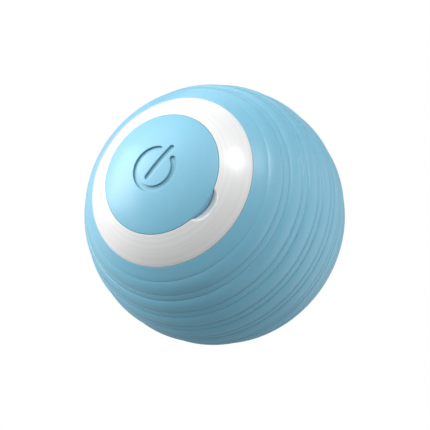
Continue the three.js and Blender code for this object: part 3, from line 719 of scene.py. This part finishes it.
class Finish:
    """A material in the making: its shader, and the pattern nodes that feed it."""

    def __init__(self, name, colour, **values):
        self.material = bpy.data.materials.new(name)
        self.material.use_nodes = True
        self.nodes = self.material.node_tree.nodes
        self.links = self.material.node_tree.links
        self.shader = self.nodes["Principled BSDF"]
        self.colour = (*colour, 1)
        self.shader.inputs["Base Color"].default_value = self.colour
        for socket, value in values.items():
            self.shader.inputs[socket.replace("_", " ")].default_value = value
        self.place = self.nodes.new("ShaderNodeTexCoord").outputs["Object"]
        self.height = None

    def add(self, kind, inputs, **settings):
        """A node with these settings, whose inputs are given as values or as other nodes' outputs."""
        made = self.nodes.new(kind)
        for key, value in settings.items():
            setattr(made, key, value)
        for key, value in inputs.items():
            if isinstance(value, bpy.types.NodeSocket):
                self.links.new(value, made.inputs[key])
            else:
                made.inputs[key].default_value = value
        return made

    def stretched(self, scales):
        """Object coordinates, scaled by direction."""
        return self.add("ShaderNodeVectorMath", {0: self.place, 1: scales}, operation="MULTIPLY").outputs[0]

    def off_axis(self):
        """Distance from the ball's spin axis, in metres."""
        flat = self.stretched((1, 0, 1))
        return self.add("ShaderNodeVectorMath", {0: flat}, operation="LENGTH").outputs["Value"]

    def noise(self, size, detail=2, place=None):
        """Smooth noise from 0 to 1, whose patches are about that size."""
        inputs = {"Vector": place or self.place, "Scale": 1 / size, "Detail": detail}
        return self.add("ShaderNodeTexNoise", inputs).outputs["Fac"]

    def rings(self, size, detail=2):
        """Noise that is the same all round the spin axis, like the marks of a turned mould."""
        inputs = {"W": self.off_axis(), "Scale": 1 / size, "Detail": detail}
        return self.add("ShaderNodeTexNoise", inputs, noise_dimensions="1D").outputs["Fac"]

    def cells(self, size, feature="F1"):
        inputs = {"Vector": self.place, "Scale": 1 / size}
        return self.add("ShaderNodeTexVoronoi", inputs, feature=feature).outputs["Distance"]

    def ranged(self, value, low, high, to_low=0.0, to_high=1.0):
        """value, moved from low..high to to_low..to_high and held inside them."""
        inputs = {"Value": value, "From Min": low, "From Max": high, "To Min": to_low, "To Max": to_high}
        return self.add("ShaderNodeMapRange", inputs).outputs["Result"]

    def tint(self, share, colour):
        """Mixes another colour into the base by share."""
        base = self.shader.inputs["Base Color"]
        before = base.links[0].from_socket if base.is_linked else self.colour
        factor, first, second, result = 0, 6, 7, 2
        inputs = {factor: share, first: before, second: (*colour, 1)}
        mix = self.add("ShaderNodeMix", inputs, data_type="RGBA")
        self.links.new(mix.outputs[result], base)
        return self

    def rough(self, value, low, high):
        """Roughness that follows a pattern, from low to high."""
        self.links.new(self.ranged(value, 0.3, 0.7, low, high), self.shader.inputs["Roughness"])
        return self

    def bump(self, height, depth, strength=1.0):
        """Relief of that depth in metres, on top of any earlier relief."""
        inputs = {"Height": height, "Distance": depth, "Strength": strength}
        if self.height:
            inputs["Normal"] = self.height
        self.height = self.add("ShaderNodeBump", inputs).outputs["Normal"]
        self.links.new(self.height, self.shader.inputs["Normal"])
        return self


def toned(colour, share):
    """The colour made darker, or lighter where the share is over 1."""
    return tuple(c * share for c in colour)


def soft_blue():
    """Satin elastomer: a fine even grain, faint clouding and a slightly uneven gloss."""
    colour = (0.205, 0.525, 0.7)
    made = Finish("soft_blue", colour, Specular_IOR_Level=0.7)
    made.tint(made.ranged(made.noise(7 * MM, 3), 0.35, 0.7, 0, 0.35), toned(colour, 0.93))
    made.tint(made.ranged(made.noise(0.5 * MM, 4), 0.45, 0.75, 0, 0.3), toned(colour, 1.08))
    made.rough(made.noise(2.5 * MM, 4), 0.3, 0.36)
    made.bump(made.noise(0.16 * MM, 3), 0.002 * MM)
    made.bump(made.noise(2.4 * MM, 2), 0.004 * MM)
    return made.material


def white_shell():
    """Moulded white plastic with the faint turning marks of its mould round the axis."""
    colour = (0.86, 0.865, 0.87)
    made = Finish("white_shell", colour, Specular_IOR_Level=0.9, Coat_Weight=0.8, Coat_Roughness=0.22)
    made.tint(made.ranged(made.noise(5 * MM, 3), 0.4, 0.7, 0, 0.4), toned(colour, 0.97))
    made.tint(made.ranged(made.rings(0.4 * MM, 3), 0.35, 0.65), toned(colour, 0.94))
    made.rough(made.rings(0.4 * MM, 3), 0.29, 0.35)
    made.bump(made.rings(0.22 * MM, 3), 0.004 * MM)
    made.bump(made.noise(2.2 * MM, 2), 0.006 * MM)
    return made.material


def green_board():
    """Solder mask over copper tracks, with the glass weave just showing."""
    mask = (0.012, 0.13, 0.06)
    made = Finish("green_board", mask, Coat_Weight=0.35, Coat_Roughness=0.2)
    tracks = made.cells(2.3 * MM, "DISTANCE_TO_EDGE")
    on_track = made.ranged(tracks, 0.05, 0.09, 1, 0)
    made.tint(on_track, (0.035, 0.24, 0.1))
    made.tint(made.ranged(made.cells(1.9 * MM), 0.08, 0.12, 1, 0), (0.72, 0.7, 0.62))
    made.rough(made.noise(1.2 * MM), 0.35, 0.5)
    made.bump(on_track, 0.02 * MM)
    made.bump(made.noise(0.12 * MM), 0.004 * MM)
    return made.material


def metal(name, colour, roughness, grain, stretch):
    """Turned or drawn metal, with fine lines along one direction and light wear."""
    made = Finish(name, colour, Metallic=1.0)
    lines = made.noise(grain, 3, made.stretched(stretch))
    made.tint(made.ranged(made.noise(1.5 * MM, 4), 0.4, 0.75, 0, 0.5), toned(colour, 0.8))
    made.rough(lines, roughness - 0.08, roughness + 0.08)
    made.bump(lines, 0.004 * MM)
    return made.material


def iron_weight():
    """Cast iron under a thin plating: pitted skin with darker hollows."""
    colour = (0.21, 0.215, 0.22)
    made = Finish("iron_weight", colour, Metallic=1.0)
    pits = made.cells(0.5 * MM)
    made.tint(made.ranged(pits, 0.1, 0.35, 0.7, 0), toned(colour, 0.5))
    made.tint(made.ranged(made.noise(3 * MM, 4), 0.5, 0.7, 0, 0.5), toned(colour, 1.4))
    made.rough(made.noise(0.8 * MM, 4), 0.42, 0.6)
    made.bump(made.ranged(pits, 0, 0.35), 0.03 * MM, 0.6)
    made.bump(made.noise(0.25 * MM, 4), 0.015 * MM)
    return made.material


def moulded(name, colour, roughness, grain=0.15 * MM, depth=0.006 * MM, **values):
    """Moulded plastic with a fine eroded grain and slight clouding."""
    made = Finish(name, colour, **values)
    made.tint(made.ranged(made.noise(2.5 * MM, 3), 0.4, 0.7, 0, 0.5), toned(colour, 0.85))
    made.rough(made.noise(0.9 * MM, 3), roughness - 0.06, roughness + 0.08)
    made.bump(made.noise(grain, 3), depth)
    return made.material


def silver_foil():
    """The cell's laminated foil pouch, with soft creases."""
    colour = (0.62, 0.63, 0.64)
    made = Finish("silver_foil", colour, Metallic=1.0)
    creases = made.noise(2.4 * MM, 5)
    made.tint(made.ranged(creases, 0.4, 0.7, 0, 0.5), toned(colour, 0.85))
    made.rough(made.noise(0.7 * MM, 3), 0.25, 0.38)
    made.bump(creases, 0.12 * MM, 0.5)
    return made.material


def foam():
    """Closed-cell foam."""
    colour = (0.03, 0.032, 0.035)
    made = Finish("foam", colour, Sheen_Weight=0.2)
    bubbles = made.cells(0.35 * MM)
    made.tint(made.ranged(bubbles, 0.1, 0.6, 0, 0.8), toned(colour, 1.8))
    made.rough(bubbles, 0.8, 0.95)
    made.bump(bubbles, 0.06 * MM)
    return made.material


def clear_lens():
    """Milky clear plastic over the lamp."""
    colour = (0.82, 0.88, 0.85)
    made = Finish(
        "clear_lens",
        colour,
        Transmission_Weight=0.45,
        IOR=1.49,
        Subsurface_Weight=0.2,
        Subsurface_Scale=0.5 * MM,
    )
    made.tint(made.ranged(made.noise(0.8 * MM, 3), 0.4, 0.7, 0, 0.5), toned(colour, 0.93))
    made.rough(made.noise(0.5 * MM), 0.15, 0.3)
    made.bump(made.noise(0.3 * MM), 0.004 * MM)
    return made.material


finishes = {
    "soft_blue": soft_blue(),
    "white_shell": white_shell(),
    "green_board": green_board(),
    "steel": metal("steel", (0.56, 0.57, 0.58), 0.3, 0.25 * MM, (1, 0.08, 1)),
    "brass": metal("brass", (0.78, 0.54, 0.22), 0.27, 0.2 * MM, (0.1, 1, 0.1)),
    "iron_weight": iron_weight(),
    "black_plastic": moulded("black_plastic", (0.012, 0.012, 0.014), 0.5),
    "grey_plastic": moulded("grey_plastic", (0.55, 0.56, 0.57), 0.45),
    "gear_white": moulded("gear_white", (0.82, 0.79, 0.7), 0.35, 0.3 * MM, 0.003 * MM, Subsurface_Weight=0.1),
    "silver_foil": silver_foil(),
    "foam": foam(),
    "clear_lens": clear_lens(),
    "red_wire": moulded("red_wire", (0.42, 0.02, 0.015), 0.38, 0.4 * MM, 0.008 * MM),
    "black_wire": moulded("black_wire", (0.015, 0.015, 0.016), 0.38, 0.4 * MM, 0.008 * MM),
}
# Painted shade: a darker, duller blue on the symbol's groove walls stands in for the shade inside the grooves
groove_painted_shade = moulded("groove_painted_shade", (0.17, 0.39, 0.46), 0.7, Specular_IOR_Level=0.1)
gilt = metal("gilt", (0.9, 0.62, 0.24), 0.22, 0.15 * MM, (1, 0.1, 1))


# Assembly


def dress(piece, slot, body, *nodes, finish=None):
    """Gives a piece its finish, its body and the nodes that it stands for."""
    piece.data.materials.clear()
    piece.data.materials.append(finish or finishes[slot])
    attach(piece, body)
    if nodes:
        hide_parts(*nodes)
    return piece


def face_out(piece):
    """Turns a closed mesh's faces outward."""
    build = bmesh.new()
    build.from_mesh(piece.data)
    inward = build.calc_volume(signed=True) < 0
    build.free()
    if inward:
        piece.data.flip_normals()
    return piece


def finish_cad_nodes():
    """The frame's own nodes keep their shape and get a finish, softened edges and smooth round faces."""
    slots = {row["node"]: row["material_slot"] for row in frame["record"]["subparts"]}
    for node, shown in frame["nodes"].items():
        if shown.hide_render:
            continue
        shown.data.materials.clear()
        shown.data.materials.append(finishes[slots[node]])
        shown.data.polygons.foreach_set("use_smooth", [True] * len(shown.data.polygons))
        weld = shown.modifiers.new("weld", "WELD")
        weld.merge_threshold = 2 * weld_reach
        soften = shown.modifiers.new("soften", "BEVEL")
        soften.width = works_round
        soften.segments = 2
        soften.limit_method = "ANGLE"
        soften.angle_limit = radians(35)
        soften.harden_normals = True


dress(smooth(face_out(make_sleeve()), radians(60)), "soft_blue", "ball", "ridged_sleeve")
dress(smooth(face_out(make_front_shell())), "white_shell", "ball", "front_shell")
dress(smooth(face_out(make_rear_shell())), "white_shell", "ball", "rear_shell")
dress(smooth(face_out(make_rear_cap())), "soft_blue", "ball", "rear_cap")
power_cap = dress(smooth(face_out(make_power_cap()), radians(75)), "soft_blue", "cap", "power_cap")
# Painted shade on the walls of the power symbol's grooves
paint_groove_shade(power_cap, groove_painted_shade)
dress(smooth(face_out(make_socket())), "steel", "ball", "charging_socket")
tongue = smooth(bevelled_block("usb_socket_tongue", *tongue_box, tongue_round))
dress(tongue, "black_plastic", "ball", "socket_tongue")
for contact in make_contacts():
    dress(smooth(contact), "brass", "ball", finish=gilt)
button = smooth(round_piece("switch_button", stem_box, button_round))
dress(button, "grey_plastic", "switch_plunger", "switch_stem")
lens = smooth(round_piece("lamp_lens", led_box, lens_round))
dress(lens, "clear_lens", "ball", "status_led")
finish_cad_nodes()


# Floor, camera and light

# The photograph's view: the camera looks at the ball from beside the cap and is rolled on its side
camera_azimuth = radians(32.64)
camera_elevation = radians(0.41)
camera_roll = radians(38.05)
camera_distance = 182.75 * MM
camera_aside = (0.06 * MM, -0.06 * MM)  # to the right and up, which centres the ball as photographed
sensor_width = 36
focal_share = 1101 / 430  # focal length as a share of the picture's width
light_distance = 400 * MM
panel_size = 600 * MM
box_size = 260 * MM
small_box_size = 110 * MM
surround_light = 0.25

level_right = Vector((cos(camera_azimuth), sin(camera_azimuth), 0))
level_up = Vector(
    (
        -sin(camera_azimuth) * sin(camera_elevation),
        cos(camera_azimuth) * sin(camera_elevation),
        cos(camera_elevation),
    )
)
view_right = cos(camera_roll) * level_right + sin(camera_roll) * level_up
view_up = cos(camera_roll) * level_up - sin(camera_roll) * level_right
view_back = view_right.cross(view_up)


def in_view(right, up, back):
    """A point or direction given along the photograph's own axes."""
    return view_right * right + view_up * up + view_back * back


def make_camera():
    data = bpy.data.cameras.new("camera")
    data.sensor_width = sensor_width
    data.lens = focal_share * sensor_width
    made = bpy.data.objects.new("camera", data)
    bpy.context.scene.collection.objects.link(made)
    axes = Matrix((view_right, view_up, view_back)).transposed()
    made.matrix_world = Matrix.Translation(in_view(*camera_aside, camera_distance)) @ axes.to_4x4()
    bpy.context.scene.camera = made


def make_light(name, direction, size, power):
    """A square softbox that faces the ball from a direction given along the photograph's axes."""
    data = bpy.data.lights.new(name, "AREA")
    data.size = size
    data.energy = power
    made = bpy.data.objects.new(name, data)
    bpy.context.scene.collection.objects.link(made)
    toward = in_view(*direction).normalized()
    facing = toward.to_track_quat("Z", "Y").to_matrix().to_4x4()
    made.matrix_world = Matrix.Translation(toward * light_distance) @ facing
    made.visible_camera = False


def make_world(light):
    """A white surround for the camera and an even grey light for everything else."""
    world = bpy.data.worlds.new("studio")
    bpy.context.scene.world = world
    world.use_nodes = True
    nodes, links = world.node_tree.nodes, world.node_tree.links
    lit = nodes["Background"]
    lit.inputs["Color"].default_value = (light, light, light, 1)
    seen = nodes.new("ShaderNodeBackground")
    seen.inputs["Color"].default_value = (1, 1, 1, 1)
    mix = nodes.new("ShaderNodeMixShader")
    links.new(nodes.new("ShaderNodeLightPath").outputs["Is Camera Ray"], mix.inputs[0])
    links.new(lit.outputs[0], mix.inputs[1])
    links.new(seen.outputs[0], mix.inputs[2])
    links.new(mix.outputs[0], nodes["World Output"].inputs["Surface"])


def make_floor():
    """A plain white floor under the ball, which only the camera sees."""
    reach = 2000 * MM
    clear = 0.01 * MM
    corners = [(x * reach, y * reach, -ball_radius - clear) for x, y in ((-1, -1), (1, -1), (1, 1), (-1, 1))]
    made = mesh_object("floor", corners, [(0, 1, 2, 3)])
    glow = bpy.data.materials.new("pale_floor")
    glow.use_nodes = True
    nodes = glow.node_tree.nodes
    nodes.remove(nodes["Principled BSDF"])
    white = nodes.new("ShaderNodeEmission")
    glow.node_tree.links.new(white.outputs[0], nodes["Material Output"].inputs["Surface"])
    made.data.materials.append(glow)
    for ray in ("diffuse", "glossy", "transmission", "volume_scatter", "shadow"):
        setattr(made, "visible_" + ray, False)


make_camera()
make_floor()
make_world(surround_light)
make_light("left_panel", (-0.8, 0.47, 0.38), panel_size, 0.42)
make_light("far_left_box", (-0.93, 0.36, 0), box_size, 0.8)
make_light("far_left_panel", (-0.92, 0.29, -0.28), panel_size, 0.5)
make_light("upper_left_panel", (-0.64, 0.77, -0.03), panel_size, 0.48)
make_light("upper_left_box", (-0.63, 0.76, 0.15), box_size, 0.28)
make_light("front_left_panel", (-0.36, 0.69, 0.63), panel_size, 0.36)
make_light("front_right_panel", (0.37, 0.8, 0.48), panel_size, 0.38)
make_light("upper_right_box", (0.35, 0.75, 0.56), box_size, 0.06)
make_light("small_box", (0.31, 0.71, 0.63), small_box_size, 0.26)
make_light("right_panel", (0.92, 0.2, 0.33), panel_size, 0.32)
make_light("far_right_panel", (0.99, -0.13, -0.08), panel_size, 0.5)
make_light("low_right_panel", (0.75, -0.64, 0.18), panel_size, 0.3)
make_light("back_right_panel", (0.69, 0.06, -0.72), panel_size, 0.2)
make_light("back_left_panel", (-0.82, -0.22, -0.53), panel_size, 0.25)
make_light("back_top_box", (0, 0.85, -0.52), box_size, 0.15)
bpy.context.scene.view_settings.view_transform = "Standard"
bpy.context.scene.cycles.use_denoising = True
